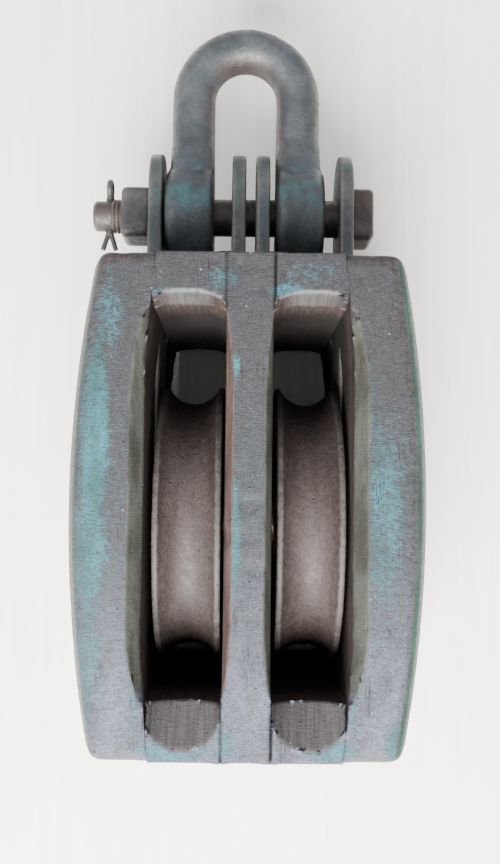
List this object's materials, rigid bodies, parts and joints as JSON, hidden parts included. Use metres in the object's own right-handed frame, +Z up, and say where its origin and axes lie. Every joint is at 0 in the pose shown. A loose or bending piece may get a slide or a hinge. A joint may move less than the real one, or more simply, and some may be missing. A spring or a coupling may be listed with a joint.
{
  "type": "rope pulley block",
  "caption": "Wooden pulley block with side-by-side grooved sheaves, iron straps inside its shell and a swinging D shackle on a through bolt.",
  "frame": {"origin": "middle of the back face of the wooden shell, on which the block lies", "axes": "+X along the sheave pin towards the bolt head, +Y from the tail towards the shackle, +Z up from the back face to the front face"},
  "size_m": [0.1604, 0.331, 0.156],
  "materials": {
    "painted_wood": "weathered paint worn to grey wood, matte",
    "strap_iron": "old galvanised iron with green paint remnants, matte",
    "sheave_iron": "brown-grey cast iron polished by rope, satin",
    "bronze": "dull oiled bronze",
    "pin_steel": "greased steel",
    "shackle_iron": "forged iron, worn green paint and brown rust, matte",
    "bolt_iron": "rusted forged iron, matte",
    "copper": "dull tarnished copper"
  },
  "bodies": {
    "shell": {"cheek_left": "painted_wood", "cheek_right": "painted_wood", "centre_partition": "painted_wood", "crown_chock_left": "painted_wood", "crown_chock_right": "painted_wood", "tail_chock_left": "painted_wood", "tail_chock_right": "painted_wood", "strap_outer_left": "strap_iron", "strap_inner_left": "strap_iron", "strap_inner_right": "strap_iron", "strap_outer_right": "strap_iron", "sheave_pin": "pin_steel", "pin_plate_left": "strap_iron", "pin_plate_right": "strap_iron", "plate_screws_left": "bronze", "plate_screws_right": "bronze", "crown_rivets": "copper", "tail_rivets": "copper", "rivet_roves": "copper", "shackle_bolt": "bolt_iron", "bolt_nut": "bolt_iron", "split_pin": "bolt_iron"},
    "left_sheave": {"sheave_left": "sheave_iron", "bush_left": "bronze"},
    "right_sheave": {"sheave_right": "sheave_iron", "bush_right": "bronze"},
    "shackle": {"shackle": "shackle_iron"}
  },
  "joints": [
    {"name": "sheave_left_spin", "type": "hinge", "parent": "shell", "child": "left_sheave", "pos_m": [-0.0254, -0.0096, 0.078], "axis": [1, 0, 0], "continuous": true},
    {"name": "sheave_right_spin", "type": "hinge", "parent": "shell", "child": "right_sheave", "pos_m": [0.0264, -0.0096, 0.078], "axis": [1, 0, 0], "continuous": true},
    {"name": "shackle_swing", "type": "hinge", "parent": "shell", "child": "shackle", "pos_m": [0, 0.1366, 0.078], "axis": [1, 0, 0], "range_deg": [-100, 100]}
  ]
}
